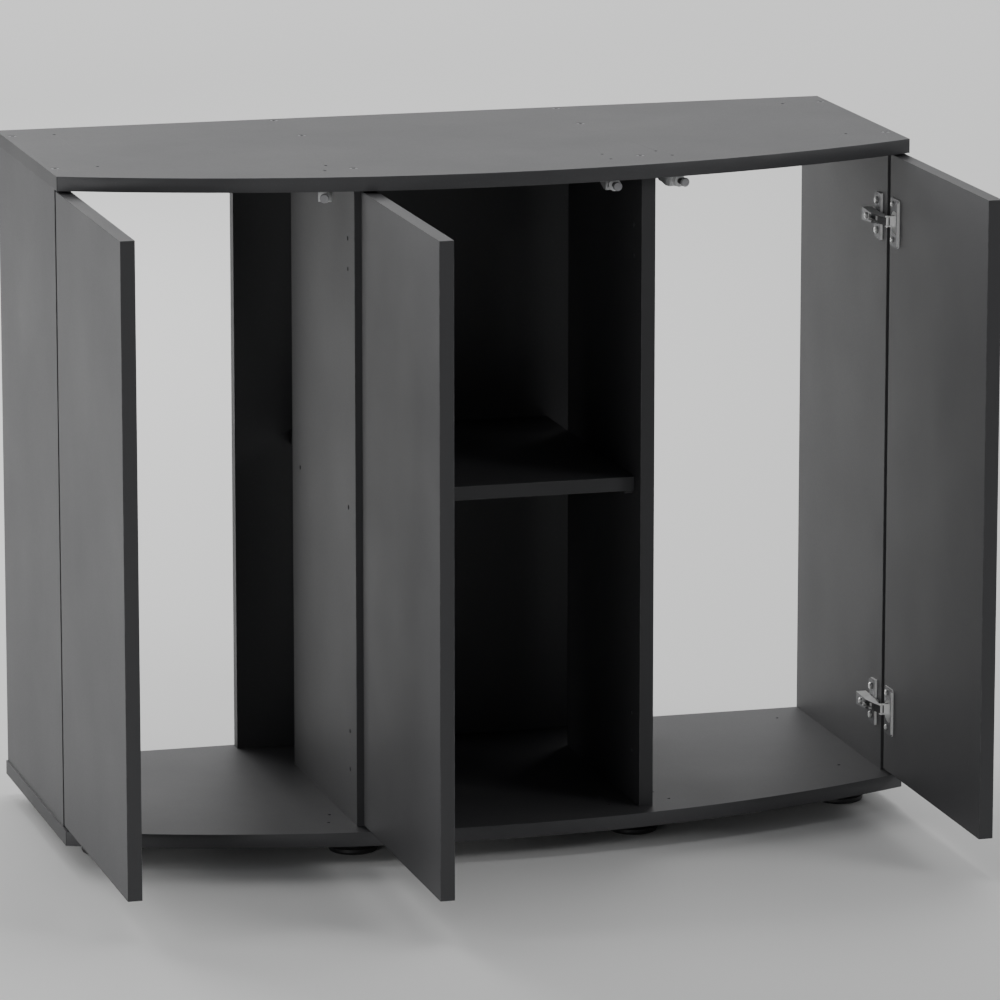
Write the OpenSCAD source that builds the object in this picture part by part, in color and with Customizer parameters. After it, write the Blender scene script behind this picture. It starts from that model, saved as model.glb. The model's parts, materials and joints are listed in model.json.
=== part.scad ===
// Bow-front tank cabinet on glides: two bowed plates, four uprights, a stiffening
// back board, one shelf, three flat doors on concealed hinges and three push latches.
// X runs across the front, Y towards the back, Z up. The origin is on the floor, at the
// centre of the cabinet's box with its doors open.

/* [Carcass] */
// Width of the top and bottom plates
body_w = 920; // [860:2:1104]
// Depth of the plates at their ends, where the bow starts
side_depth = 314; // [300:2:400]
// How far the bowed front stands out at the middle
bow = 96; // [90:1:106]
// Height of the carcass without its glides
body_h = 707; // [590:1:860]
// Thickness of every board of the carcass
board_t = 15; // [14:0.5:18]
// How far the side panels stand in from the plate ends
side_inset = 2; // [1:0.5:4]
// How far the dividers' centres stand outside the closed middle door's edges
divider_out = 0.1; // [-1:0.1:1.2]
// Depth of the dividers, front to back
divider_depth = 274; // [220:2:290]
// Width of the back board
back_w = 412; // [370:2:520]
// How far the back board stands in from the rear edge of the plates
back_inset = 3; // [0:0.5:12]

/* [Shelf] */
// Height of the shelf's underside above the underside of the bottom plate
shelf_z = 353; // [240:1:480]
// How far the shelf's front edge stands behind the dividers' front edges
shelf_setback = 18.5; // [10:0.5:40]
// Gap at each end of the shelf
shelf_gap = 1; // [0.5:0.5:2]
// Gap between the shelf and the back board
shelf_back_gap = 2; // [1:0.5:6]
// Shelf pin radius
pin_r = 2.5; // [2:0.25:3]
// Length of a shelf pin inside its board
pin_in = 9; // [7:0.5:11]
// Distance of the front shelf pins from the dividers' front edges
pin_front = 30; // [24:1:60]
// Distance of the rear shelf pins from the dividers' rear edges
pin_rear = 34; // [24:1:60]

/* [Doors] */
// Thickness of the doors
door_t = 15; // [14.5:0.5:18]
// Gap under the doors
door_gap_low = 3.5; // [2:0.5:6]
// Gap over the doors
door_gap_high = 2.5; // [2:0.5:6]
// Gap between neighbouring doors when closed
door_reveal = 3; // [2:0.5:5]
// How far the outer doors' hinge edges stand in from the plate ends
edge_reveal = 2.7; // [2:0.1:5]
// Gap between a closed door and the front edges behind it
front_gap = 2; // [1.5:0.5:4]
// How far the plates stand out in front of the middle door's edges
mid_lip = 9.2; // [7:0.2:12]
// How far the plates stand out in front of the outer doors' free edges
outer_lip = 6.1; // [4:0.1:8]
// Angle that the middle door stands open
mid_open = 90; // [0:1:94]
// Angle that the outer doors stand short of square to the front
outer_short = 0; // [0:1:60]

/* [Hinges] */
// Height of the lower hinge above the door's lower edge
hinge_low = 67.5; // [55:0.5:160]
// Distance of the upper hinge below the door's upper edge
hinge_high = 71; // [55:0.5:160]
// Turning point of the middle door, measured from its hinge edge
mid_pivot_s = 1.9; // [1.5:0.1:2.3]
// Turning point of the middle door, measured out from its inner face
mid_pivot_in = 10.5; // [10.2:0.1:11.2]
// Turning point of the outer doors, measured from their hinge edges
out_pivot_s = 3.3; // [2.8:0.1:3.6]
// Turning point of the outer doors, measured out from their inner faces
out_pivot_in = 9; // [8.6:0.1:9.6]
// Radius of the hinge cup
cup_r = 13; // [12.5:0.5:14]
// Depth of the hinge cup in the door
cup_depth = 11; // [10.5:0.25:11.5]
// Distance of the cup's centre from the door's hinge edge
cup_s = 17; // [16.5:0.5:18]
// Sheet thickness of the cup
cup_wall = 0.6; // [0.5:0.1:1]
// Height of the cup's flange
flange_h = 52; // [48:1:60]
// Width of the cup's flange
flange_w = 27; // [26:0.5:30]
// Thickness of the cup's flange
flange_t = 1.2; // [1:0.1:1.6]
// Distance between the two screws of a cup flange
cup_screw_pitch = 38; // [36:1:42]
// Distance of the plate screws behind the upright's front edge
plate_setback = 28; // [26:1:34]
// Distance between the two screws of a mounting plate
plate_pitch = 32; // [28:1:36]
// Height of a mounting plate
plate_h = 50; // [46:1:56]
// Distance of a mounting plate's front edge behind the upright's front edge
plate_front = 15; // [13:0.5:18]
// Distance of a mounting plate's rear edge behind its screws
plate_back = 9; // [8:0.5:12]
// Thickness of a mounting plate's wings
plate_t = 2.6; // [1.6:0.2:3]
// Width of the hinge arm at its rear end
arm_w = 14; // [12:0.5:16]
// Width of the hinge arm at its nose
nose_w = 8.4; // [7:0.2:9]
// How far the hinge arm stands off the upright
arm_rise = 14; // [12:0.5:16]
// Sheet thickness of the arm and the link
sheet_t = 1.2; // [1:0.1:1.5]
// Radius of the arm's nose
nose_r = 2.2; // [1.8:0.1:2.4]
// Radius of the hinge pins
hinge_pin_r = 1; // [0.8:0.1:1.2]
// Width of the hinge link
link_w = 11.6; // [11:0.2:12.4]

/* [Push latches] */
// Distance of each latch from the free edge of its closed door
latch_edge = 36; // [30:1:60]
// How far a released plunger stands past the inner face of the closed door
latch_proud = 8; // [4:0.5:10]
// Radius of the latch barrel
barrel_r = 5.5; // [5:0.25:6.5]
// Radius of the plunger's head
head_r = 4.7; // [4:0.1:5]
// Radius of the plunger's stem
stem_r = 3; // [2:0.25:3.5]
// Distance of the latch axis below the top plate
latch_drop = 10; // [8.5:0.5:12]
// Length of the latch's screwed housing
housing_l = 46; // [42:1:56]
// Distance between the two screws of a latch housing
housing_pitch = 32; // [28:1:34]

/* [Glides and fasteners] */
// Height of the glides under the bottom plate
foot_h = 23; // [15:1:40]
// Radius of the glides
foot_r = 26; // [20:1:30]
// Distance of the corner glides in from the plate ends
foot_in = 54; // [50:1:80]
// Radius of the carcass screws
screw_r = 3.5; // [3:0.25:3.75]
// Length of the carcass screws
screw_l = 50; // [45:1:60]
// Radius of the carcass screw heads
screw_head_r = 4.6; // [4.4:0.1:5.2]
// Radius of the wooden dowels
dowel_r = 4; // [3.5:0.25:4.5]
// Length of the wooden dowels
dowel_l = 30; // [26:1:34]

/* [Hidden] */
$fn = 48;

// fits and small clearances
fit = 0.05;                       // radial clearance of a pin or a dowel in its bore
play = 0.3;                       // clearance between pieces that pass each other
inner_r = 2.5;                    // radius of the drilled hinge and shelf holes

// heights inside the carcass, from the underside of the bottom plate
floor_z = board_t;
roof_z = body_h - board_t;
upright_h = roof_z - floor_z;

// the bow of the plates is one arc
bow_r = (pow(body_w / 2, 2) + bow * bow) / (2 * bow);
function bow_y(x) = bow_r - bow - sqrt(bow_r * bow_r - x * x);

// closed doors: the middle one lies square, the outer ones lie along the bow's chord
turn = atan2(-bow_y(body_w / 6), body_w / 3);
door_w = (body_w - 2 * edge_reveal - 2 * door_reveal - 2 * door_t * sin(turn)) / (1 + 2 * cos(turn));
door_h = upright_h - door_gap_low - door_gap_high;
door_z = floor_z + door_gap_low;
mid_face_y = bow_y(door_w / 2) + mid_lip;
mid_corner = [-door_w / 2, mid_face_y];
free_x = -door_w / 2 - door_reveal - door_t * sin(turn);
free_y = bow_y(free_x) + outer_lip;
out_corner = [free_x - door_w * cos(turn), free_y + door_w * sin(turn)];

// a point given along a closed door (s) and in from its outer face (t)
function door_point(corner, a, s, t) =
    [corner[0] + s * cos(a) + t * sin(a), corner[1] - s * sin(a) + t * cos(a)];
mid_pivot_t = door_t - mid_pivot_in;
out_pivot_t = door_t - out_pivot_in;
mid_pivot = door_point(mid_corner, 0, mid_pivot_s, mid_pivot_t);
out_pivot = door_point(out_corner, turn, out_pivot_s, out_pivot_t);
out_open = 90 - turn - outer_short;

// uprights
side_x = body_w / 2 - side_inset - board_t / 2;
side_front = out_corner[1] + door_t * cos(turn) + front_gap;
divider_x = door_w / 2 + divider_out;
mid_bay = 2 * divider_x - board_t;
divider_front = mid_face_y + door_t + front_gap;
divider_rear = divider_front + divider_depth;
back_y = side_depth - back_inset - board_t;
mount_x_out = -side_x + board_t / 2;
mount_x_mid = -divider_x + board_t / 2;
hinge_zs = [door_z + hinge_low, door_z + door_h - hinge_high];
shelf_l = mid_bay - 2 * shelf_gap;
shelf_front = divider_front + shelf_setback;
shelf_depth = back_y - shelf_back_gap - shelf_front;
pin_ys = [divider_front + pin_front, divider_rear - pin_rear];
pin_z = shelf_z - pin_r;
pin_out = 9;                      // length of a shelf pin under the shelf

// carcass screws and dowels, given as [x, y] on the plates
screw_front = 31;                 // behind the front edge of an upright
screw_rear = [42, 20];            // ahead of the rear edge of a side panel, of a divider
back_screw_in = 48;               // in from the ends of the back board
back_mid_y = back_y + board_t / 2;
side_screws = [for (x = [-side_x, side_x], y = [side_front + screw_front, side_depth - screw_rear[0]]) [x, y]];
divider_screws = [for (x = [-divider_x, divider_x], y = [divider_front + screw_front, divider_rear - screw_rear[1]])
    [x, y]];
back_screws = [for (x = [-1, 1]) [x * (back_w / 2 - back_screw_in), back_mid_y]];
carcass_screws = concat(side_screws, divider_screws, back_screws);
dowels_at = concat(
    [for (x = [-side_x, side_x]) [x, (side_front + side_depth) / 2]],
    [for (x = [-divider_x, divider_x]) [x, (divider_front + divider_rear) / 2]],
    [for (x = [-1, 1]) [x * back_w / 8, back_mid_y]]);
dowel_deep = 10;                  // how far a dowel reaches into a plate
head_deep = 3;                    // depth of a carcass screw's head

// glides
foot_front_mid = divider_front + 48;
foot_rows = [
    [body_w / 2 - foot_in, side_front + 31], [body_w / 2 - foot_in, side_depth - 44],
    [divider_x, foot_front_mid], [divider_x, side_depth - 64]];
feet_at = [for (p = foot_rows, m = [-1, 1]) [m * p[0], p[1]]];
foot_screw_r = 2;
foot_screw_l = 12;
foot_recess = 6;

// spare holes of the hinge pattern through both dividers
spare_low = 41;                   // spare hole above the lowest plate screw
spare_zs = [hinge_zs[1] + plate_pitch / 2, hinge_zs[1] - plate_pitch / 2,
    hinge_zs[0] - plate_pitch / 2, hinge_zs[0] - plate_pitch / 2 + spare_low];

// concealed hinge: arm nose and link, in the frame of the upright's front edge
nose_t = door_t - cup_depth + cup_wall + nose_r + 0.6;
nose_rise = 5;                    // how far the outer doors' pins stand off the side panels
out_nose_s = (mount_x_out + nose_rise - out_corner[0] - nose_t * sin(turn)) / cos(turn);
mid_nose_s = cup_s + 1;
out_nose_xy = door_point(out_corner, turn, out_nose_s, nose_t);
mid_nose_xy = door_point(mid_corner, 0, mid_nose_s, nose_t);
out_nose = [out_nose_xy[0] - mount_x_out, side_front - out_nose_xy[1]];
mid_nose = [mid_nose_xy[0] - mount_x_mid, divider_front - mid_nose_xy[1]];
out_link_to = [9, door_t - 4];           // point of the open door that each link leans to
mid_link_to = [12, door_t - 4];
out_link_l = 9;                   // from the pin to the link's open end
mid_link_l = 10;
tongue_w = 7;                     // width of the middle door's links inside their cups
notch_l = 6;                      // notch in the cup's rim for the link
notch_depth = 2.5;
rim_w = 2.4;                      // raised rim along the flange's far edge
rim_rise = 1.8;
function turned(p, a) = [p[0] * cos(a) + p[1] * sin(a), -p[0] * sin(a) + p[1] * cos(a)];
out_far = out_pivot + turned(out_link_to - [out_pivot_s, out_pivot_t], turn + out_open);
mid_far = mid_pivot + turned(mid_link_to - [mid_pivot_s, mid_pivot_t], mid_open);
out_link_a = atan2(-(out_far - out_nose_xy)[1], (out_far - out_nose_xy)[0]);
mid_link_a = atan2(-(mid_far - mid_nose_xy)[1], (mid_far - mid_nose_xy)[0]);
arm_rear = plate_setback + 15;    // rear end of the arm behind the upright's edge
eye_r = hinge_pin_r + sheet_t;
cup_screw_s = 10.9;
cup_screw_z = cup_screw_pitch / 2;
plate_screw_r = 2.4;
plate_screw_l = 12;
wood_screw_r = 1.75;
cup_screw_l = 11;

// push latch, in the frame of its closed door
latch_s = door_w - latch_edge;
latch_z = roof_z - latch_drop;
housing_t = door_t + 13;          // front end of the housing, in from the outer face
housing_first = 6;                // front screw behind the housing's front end
housing_w = 14;
barrel_front = door_t + 4;
barrel_back = 26;                 // how far the barrel reaches into the housing
barrel_wall = 1;
head_t = 4;
pressed = latch_proud + 0.2;      // how far a closed door presses the plunger in
spring_l = 8;
spring_t = housing_t + barrel_back - spring_l - 2.6;
stem_t = door_t - latch_proud + head_t - 1;
stem_l = spring_t - stem_t - pressed - play;
spring_r = 2.6;
spring_wire = 0.35;
latch_screw_l = 14;
latch_screw_r = 1.75;
foot_hole_r = 1.75;

// the box of the open cabinet is centred on the origin
open_front = min(mid_pivot[1] - (door_w - mid_pivot_s) * sin(mid_open), -bow);
frame_y = (open_front + side_depth) / 2;

board_c = [0.17, 0.17, 0.175];
edge_c = [0.12, 0.12, 0.125];
steel_c = [0.76, 0.77, 0.78];
grey_c = [0.45, 0.46, 0.47];

// ---- placing ----

module placed() translate([0, -frame_y, foot_h]) children();

// pieces of the left, middle and right door: the right one mirrors the left one
module sided(where) {
    placed()
        if (where == "right") mirror([1, 0, 0]) children();
        else children();
}

// a closed door's frame: x along the door from its hinge edge, y in from its outer face
module closed_frame(where) {
    corner = where == "middle" ? mid_corner : out_corner;
    sided(where) translate([corner[0], corner[1], 0])
        rotate([0, 0, where == "middle" ? 0 : -turn]) children();
}

// the same frame as it stands at rest, opened about the door's turning point
module door_frame(where) {
    at = where == "middle" ? mid_pivot : out_pivot;
    a = where == "middle" ? mid_open : turn + out_open;
    sided(where) translate([at[0], at[1], 0]) rotate([0, 0, -a])
        translate(where == "middle" ? [-mid_pivot_s, -mid_pivot_t, 0] : [-out_pivot_s, -out_pivot_t, 0])
            children();
}

// an upright's frame: x off its hinge face, y forwards from its front edge
module upright_frame(where) {
    x = where == "middle" ? mount_x_mid : mount_x_out;
    y = where == "middle" ? divider_front : side_front;
    sided(where) translate([x, y, 0]) mirror([0, 1, 0]) children();
}

module at_hinges() for (z = hinge_zs) translate([0, 0, z]) children();

module along_x() rotate([0, 90, 0]) children();
module along_y() rotate([-90, 0, 0]) children();

// ---- carcass ----

module plate_outline() intersection() {
    translate([0, bow_r - bow]) circle(r = bow_r, $fn = 720);
    translate([-body_w / 2, -bow - 1]) square([body_w, side_depth + bow + 1]);
}

// screw pattern of the push latches, drilled through both plates
module latch_pattern() for (where = ["left", "middle", "right"])
    for (t = [housing_t + housing_first, housing_t + housing_first + housing_pitch])
        latch_spot(where, t) children();

module latch_spot(where, t) {
    corner = where == "middle" ? mid_corner : out_corner;
    p = door_point(corner, where == "middle" ? 0 : turn, latch_s, t);
    translate([where == "right" ? -p[0] : p[0], p[1], 0]) children();
}

module plate_holes(outer) {
    for (p = carcass_screws) translate([p[0], p[1], -1]) {
        cylinder(r = screw_r + fit, h = board_t + 2);
        translate([0, 0, outer > 0 ? board_t + 1 - head_deep : -1])
            cylinder(r = screw_head_r + play, h = head_deep + 2);
    }
    for (p = dowels_at) translate([p[0], p[1], outer > 0 ? -1 : board_t - dowel_deep - 1])
        cylinder(r = dowel_r + fit, h = dowel_deep + 2);
    latch_pattern() translate([0, 0, -1]) cylinder(r = latch_screw_r + fit, h = board_t + 2);
    for (p = feet_at) translate([p[0], p[1], -1])
        if (abs(p[0]) > divider_x) cylinder(r = foot_hole_r + fit, h = board_t + 2);
}

module top_plate() color(board_c) placed() translate([0, 0, roof_z]) difference() {
    linear_extrude(board_t) plate_outline();
    plate_holes(1);
}

module bottom_plate() color(board_c) placed() difference() {
    linear_extrude(board_t) plate_outline();
    plate_holes(-1);
    for (p = feet_at) translate([p[0], p[1], -1]) cylinder(r = foot_screw_r + fit, h = foot_screw_l - 4);
}

// bores for carcass screws and dowels in the ends of an upright
module end_bores(screws, pegs) {
    bite = screw_l - board_t + 2;
    peg = dowel_l - dowel_deep;
    for (p = screws) translate([p[0], p[1], 0]) {
        translate([0, 0, floor_z - 1]) cylinder(r = screw_r + fit, h = bite + 1);
        translate([0, 0, roof_z - bite]) cylinder(r = screw_r + fit, h = bite + 1);
    }
    for (p = pegs) translate([p[0], p[1], 0]) {
        translate([0, 0, floor_z - 1]) cylinder(r = dowel_r + fit, h = peg + 2);
        translate([0, 0, roof_z - peg - 1]) cylinder(r = dowel_r + fit, h = peg + 2);
    }
}

// the pair of screw bores of each mounting plate
module plate_bores(where) upright_frame(where) at_hinges()
    for (z = [-1, 1]) translate([-plate_screw_l - 0.5, -plate_setback, z * plate_pitch / 2])
        along_x() cylinder(r = plate_screw_r + fit, h = plate_screw_l + 2);

module side_panel(where) color(board_c) difference() {
    sided(where) translate([-side_x - board_t / 2, side_front, floor_z])
        cube([board_t, side_depth - side_front, upright_h]);
    placed() end_bores(side_screws, dowels_at);
    plate_bores(where);
}

module divider(m) color(board_c) difference() {
    placed() difference() {
        translate([m * divider_x - board_t / 2, divider_front, floor_z])
            cube([board_t, divider_depth, upright_h]);
        end_bores(divider_screws, dowels_at);
        for (y = pin_ys) translate([m * divider_x - board_t, y, pin_z])
            along_x() cylinder(r = pin_r + fit, h = 2 * board_t);
        for (z = spare_zs) translate([m * divider_x - board_t, divider_front + plate_setback, z])
            along_x() cylinder(r = inner_r, h = 2 * board_t);
    }
    if (m < 0) plate_bores("middle");
}

module back_board() color(board_c) placed() difference() {
    translate([-back_w / 2, back_y, floor_z]) cube([back_w, board_t, upright_h]);
    end_bores(back_screws, dowels_at);
}

module shelf() color(board_c) placed()
    translate([-shelf_l / 2, shelf_front, shelf_z]) cube([shelf_l, shelf_depth, board_t]);

// a pin with a collar against the divider and a peg under the shelf
module shelf_pins() color(steel_c) placed()
    for (m = [-1, 1], y = pin_ys) translate([m * mid_bay / 2, y, pin_z]) mirror([m > 0 ? 0 : 1, 0, 0]) {
        translate([-pin_out, 0, 0]) along_x() cylinder(r = pin_r, h = pin_out + pin_in);
        translate([-1, 0, -0.1]) along_x() cylinder(r = pin_r + 0.9, h = 0.9);
    }

// ---- fasteners of the carcass ----

module carcass_screw() difference() {
    union() {
        cylinder(r = screw_head_r, h = head_deep - 0.2);
        translate([0, 0, head_deep - 1]) cylinder(r = screw_r, h = screw_l - head_deep + 1);
    }
    translate([0, 0, -1]) cylinder(r = 2.3, h = 3, $fn = 6);
}

module carcass_screws_top() color(edge_c) placed()
    for (p = carcass_screws) translate([p[0], p[1], body_h - 0.2]) mirror([0, 0, 1]) carcass_screw();

module carcass_screws_bottom() color(edge_c) placed()
    for (p = carcass_screws) translate([p[0], p[1], 0.2]) carcass_screw();

module dowels(z) color([0.8, 0.66, 0.44]) placed()
    for (p = dowels_at) translate([p[0], p[1], z]) {
        cylinder(r = dowel_r, h = dowel_l - 2);
        translate([0, 0, -1]) cylinder(r1 = dowel_r - 1, r2 = dowel_r, h = 1);
        translate([0, 0, dowel_l - 2]) cylinder(r1 = dowel_r, r2 = dowel_r - 1, h = 1);
    }

module dowels_top() dowels(roof_z + dowel_deep - dowel_l + 1);
module dowels_bottom() dowels(floor_z - dowel_deep + 1);

// ---- doors ----

module door(where) color(board_c) door_frame(where) difference() {
    translate([0, 0, door_z]) cube([door_w, door_t, door_h]);
    at_hinges() {
        translate([cup_s, door_t - cup_depth, 0]) along_y() cylinder(r = cup_r, h = cup_depth + 1);
        for (z = [-1, 1]) translate([cup_screw_s, door_t - cup_screw_l - 0.5, z * cup_screw_z])
            along_y() cylinder(r = wood_screw_r + fit, h = cup_screw_l + 2);
    }
}

// ---- concealed hinges ----

module hinge_plates(where) color(steel_c) upright_frame(where) at_hinges() difference() {
    union() {
        translate([0, -plate_setback + 4, -plate_h / 2])
            cube([plate_t, plate_setback - plate_front - 4, plate_h]);
        for (z = [-1, 1]) translate([0, -plate_setback, z * plate_pitch / 2])
            along_x() cylinder(r = plate_back, h = plate_t);
        translate([0, -plate_setback - 4, -plate_pitch / 2]) cube([plate_t, 9, plate_pitch]);
        translate([0, -arm_rear, -arm_w / 2 + 3]) cube([plate_t, arm_rear - 9, arm_w - 6]);
        translate([0, -arm_rear + 3, -3]) cube([arm_rise - 5, arm_rear - 15, 6]);
    }
    for (z = [-1, 1]) translate([-1, -plate_setback, z * plate_pitch / 2])
        along_x() cylinder(r = plate_screw_r + fit, h = plate_t + 2);
    translate([arm_rise - 11, -plate_setback, 0]) along_x() cylinder(r = 2 + fit, h = 8);
}

// side view of the arm: a body over the plate and a neck down to the nose
module arm_side(nose, grow) {
    low = plate_t + play + 0.3;
    polygon([
        [low - grow, -arm_rear - grow], [arm_rise + grow, -arm_rear - grow],
        [arm_rise + grow, -12], [nose[0] + nose_r * 0.85 + grow, nose[1] + nose_r * 0.5],
        [nose[0] - nose_r * 0.75 - grow, nose[1] + nose_r * 0.5],
        [max(nose[0] - 0.4, low + 1.5), 1], [low - grow, -9]]);
}

module arm_top(w0, w1, nose) polygon([
    [-arm_rear - 1, -w0 / 2], [nose[1] - 9, -w1 / 2], [nose[1] + 9, -w1 / 2],
    [nose[1] + 9, w1 / 2], [nose[1] - 9, w1 / 2], [-arm_rear - 1, w0 / 2]]);

module arm_block(nose, grow, w0, w1) intersection() {
    translate([0, 0, -arm_w]) linear_extrude(2 * arm_w) {
        arm_side(nose, grow);
        translate(nose) circle(r = nose_r + grow);
    }
    translate([-1, 0, 0]) rotate([90, 0, 90]) linear_extrude(arm_rise + 4) arm_top(w0, w1, nose);
}

module hinge_arms(where) {
    nose = where == "middle" ? mid_nose : out_nose;
    thin = 2 * sheet_t;
    color(steel_c) upright_frame(where) at_hinges() difference() {
        arm_block(nose, 0, arm_w, nose_w);
        // hollow under the web, open towards the upright and at the rear
        intersection() {
            arm_block(nose, 3, arm_w - thin, nose_w - thin);
            translate([-4, -arm_rear - 4, -arm_w]) cube([arm_rise - sheet_t + 4, arm_rear + 4, 2 * arm_w]);
        }
        // clamp screw hole and adjusting slot in the web
        translate([arm_rise - 4, -plate_setback, 0]) along_x() cylinder(r = 2 + play, h = 8);
        translate([arm_rise - 4, -plate_setback + 6, 0]) rotate([0, 90, 0]) linear_extrude(8)
            polygon([[-4.1, 0], [4.1, 0], [1.8, 17], [-1.8, 17]]);
        translate([nose[0], nose[1], -arm_w]) cylinder(r = hinge_pin_r + fit, h = 2 * arm_w);
    }
}

module hinge_pins(where) {
    nose = where == "middle" ? mid_nose : out_nose;
    color(steel_c) upright_frame(where) at_hinges()
        translate([nose[0], nose[1], -link_w / 2 - 0.8]) cylinder(r = hinge_pin_r, h = link_w + 1.6);
}

// a bent link: two eyes outside the arm's nose and a web that reaches into the cup
module hinge_links(where) {
    nose = where == "middle" ? mid_nose : out_nose;
    a = where == "middle" ? mid_link_a : out_link_a;
    l = where == "middle" ? mid_link_l : out_link_l;
    web_t = sheet_t + 0.2;
    web_from = nose_r + 0.8;
    web_l = (l - web_from) * 0.4;
    end_w = where == "middle" ? tongue_w : link_w;
    color(steel_c) upright_frame(where) at_hinges() translate([nose[0], nose[1], 0]) rotate([0, 0, a])
        difference() {
            union() {
                for (z = [-link_w / 2, link_w / 2 - sheet_t]) translate([0, 0, z]) {
                    cylinder(r = eye_r, h = sheet_t);
                    translate([0, -eye_r, 0]) cube([web_from + 1, 2 * eye_r, sheet_t]);
                }
                translate([web_from, -web_t / 2, -link_w / 2]) cube([web_l, web_t, link_w]);
                translate([web_from, -web_t / 2, -end_w / 2]) cube([l - web_from, web_t, end_w]);
                translate([l, 0, -end_w / 2]) cylinder(r = web_t / 2, h = end_w);
            }
            translate([0, 0, -link_w]) cylinder(r = hinge_pin_r + fit, h = 2 * link_w);
        }
}

module flange_outline() {
    r = 3;
    translate([cup_s - flange_w / 2 + r, -flange_h / 2]) square([flange_w - 2 * r, flange_h]);
    translate([cup_s - flange_w / 2, -flange_h / 2 + r]) square([flange_w, flange_h - 2 * r]);
    for (x = [-1, 1], z = [-1, 1])
        translate([cup_s + x * (flange_w / 2 - r), z * (flange_h / 2 - r)]) circle(r = r);
}

// in the door's frame the flange lies on the inner face and the cup in its bore
module hinge_cups(where) color(steel_c) door_frame(where) at_hinges() difference() {
    union() {
        translate([0, door_t + flange_t, 0]) rotate([90, 0, 0]) linear_extrude(flange_t) flange_outline();
        translate([cup_s, door_t - cup_depth + fit, 0]) along_y()
            cylinder(r = cup_r - fit, h = cup_depth - fit + flange_t);
        translate([cup_s + flange_w / 2 - rim_w, door_t, -flange_h / 2 + 3])
            cube([rim_w, flange_t + rim_rise, flange_h - 6]);
    }
    translate([cup_s, door_t - cup_depth + fit + cup_wall, 0]) along_y()
        cylinder(r = cup_r - fit - cup_wall, h = cup_depth + 5);
    for (z = [-1, 1]) translate([cup_screw_s, door_t - 1, z * cup_screw_z])
        along_y() cylinder(r = wood_screw_r + fit, h = flange_t + 4);
    // notch at the hinge edge, where the link passes over the rim
    translate([cup_s - cup_r - 1, door_t - notch_depth, -link_w / 2 - 2 * play])
        cube([notch_l, notch_depth + flange_t + 1, link_w + 4 * play]);
}

// a pan head with a cross slot, its shank along -z
module pan_screw(head_r, head_h, shank_r, shank_l) difference() {
    union() {
        cylinder(r = head_r, h = head_h * 0.55);
        translate([0, 0, head_h * 0.55]) cylinder(r1 = head_r, r2 = head_r * 0.72, h = head_h * 0.45);
        translate([0, 0, -shank_l]) cylinder(r = shank_r, h = shank_l + 0.1);
    }
    for (a = [0, 90]) rotate([0, 0, a])
        translate([-head_r * 0.55, -0.35, head_h * 0.4]) cube([head_r * 1.1, 0.7, head_h]);
}

module cup_screws(where) color(steel_c) door_frame(where) at_hinges()
    for (z = [-1, 1]) translate([cup_screw_s, door_t + flange_t, z * cup_screw_z])
        along_y() pan_screw(3.1, 1.8, wood_screw_r, cup_screw_l);

module plate_screws() color(steel_c) for (where = ["left", "middle", "right"])
    upright_frame(where) at_hinges() for (z = [-1, 1])
        translate([plate_t, -plate_setback, z * plate_pitch / 2])
            along_x() pan_screw(3.8, 2.2, plate_screw_r, plate_screw_l);

module clamp_screws() color(steel_c) for (where = ["left", "middle", "right"])
    upright_frame(where) at_hinges() translate([arm_rise, -plate_setback, 0])
        along_x() pan_screw(3.4, 2, 2, 8);

// ---- push latches ----

// axis frame of a latch: x across, y in from the outer face of the closed door
module latch_frame(where) closed_frame(where) translate([latch_s, 0, latch_z]) children();

module latch_housing(where) color(grey_c) latch_frame(where) difference() {
    union() {
        // a wedge that is deepest at its front end
        translate([-housing_w / 2, 0, 0]) rotate([90, 0, 90]) linear_extrude(housing_w) polygon([
            [housing_t, latch_drop], [housing_t, -barrel_r - 1], [housing_t + 8, -barrel_r - 1],
            [housing_t + housing_l, latch_drop - 2.5], [housing_t + housing_l, latch_drop]]);
        translate([0, housing_t - 1.5, 0]) along_y() cylinder(r = barrel_r + 1.2, h = 6);
    }
    translate([0, housing_t - 3, 0]) along_y() cylinder(r = barrel_r + fit, h = barrel_back + 3);
    for (t = [0, housing_pitch]) translate([0, housing_t + housing_first + t, 0]) {
        translate([0, 0, latch_drop - 4]) cylinder(r = latch_screw_r + fit, h = 6);
        translate([0, 0, t > 0 ? -12 : 0])
            cylinder(r = t > 0 ? 3.3 : 2.4, h = latch_drop - 3 + (t > 0 ? 12 : 0));
    }
}

module latch_barrel(where) color(grey_c) latch_frame(where) difference() {
    union() {
        translate([0, barrel_front, 0]) along_y()
            cylinder(r = barrel_r, h = housing_t + barrel_back - barrel_front - 0.5);
        translate([0, barrel_front, 0]) along_y() cylinder(r = barrel_r + 0.9, h = 4);
    }
    translate([0, barrel_front - 1, 0]) along_y()
        cylinder(r = stem_r + fit, h = housing_t + barrel_back - barrel_front - 0.5);
}

module latch_plunger(where) color(edge_c) latch_frame(where)
    translate([0, stem_t, 0]) along_y() cylinder(r = stem_r, h = stem_l);

// the head has a soft ring with a dished centre
module latch_bumper(where) color(grey_c) latch_frame(where)
    translate([0, door_t - latch_proud, 0]) along_y() difference() {
        union() {
            cylinder(r1 = head_r - 0.6, r2 = head_r, h = 0.8);
            translate([0, 0, 0.8]) cylinder(r = head_r, h = head_t - 1.4);
        }
        translate([0, 0, -1]) cylinder(r = head_r * 0.55, h = 1.5);
        translate([0, 0, head_t - 1]) cylinder(r = stem_r + fit, h = 2);
    }

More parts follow.
